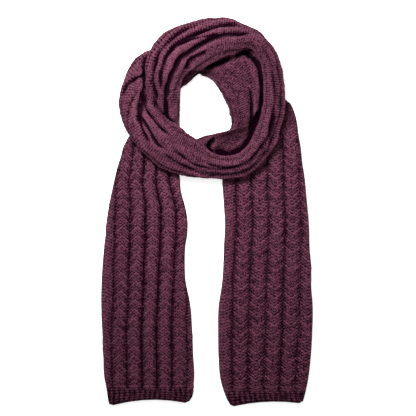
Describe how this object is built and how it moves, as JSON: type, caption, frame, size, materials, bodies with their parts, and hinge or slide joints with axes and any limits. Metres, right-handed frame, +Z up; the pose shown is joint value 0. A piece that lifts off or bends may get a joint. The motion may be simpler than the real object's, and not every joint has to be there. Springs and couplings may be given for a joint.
{
  "type": "knit scarf",
  "caption": "Chunky cable-knit scarf laid flat, wound once into an open ring with both ribbed ends lying side by side below it.",
  "frame": {"origin": "centre of the bounding box's base, on the surface the scarf lies on", "axes": "+Y from the ribbed ends to the top of the ring, +X to the right seen from above, +Z up from the surface"},
  "size_m": [0.4022, 0.7402, 0.0602],
  "materials": {
    "wool": "matt, slightly brushed wool"
  },
  "bodies": {
    "root": {"left_border": "wool", "left_tail": "wool", "loop_top": "wool", "loop_front": "wool", "inner_strand": "wool", "right_tail": "wool", "right_border": "wool"}
  },
  "joints": []
}
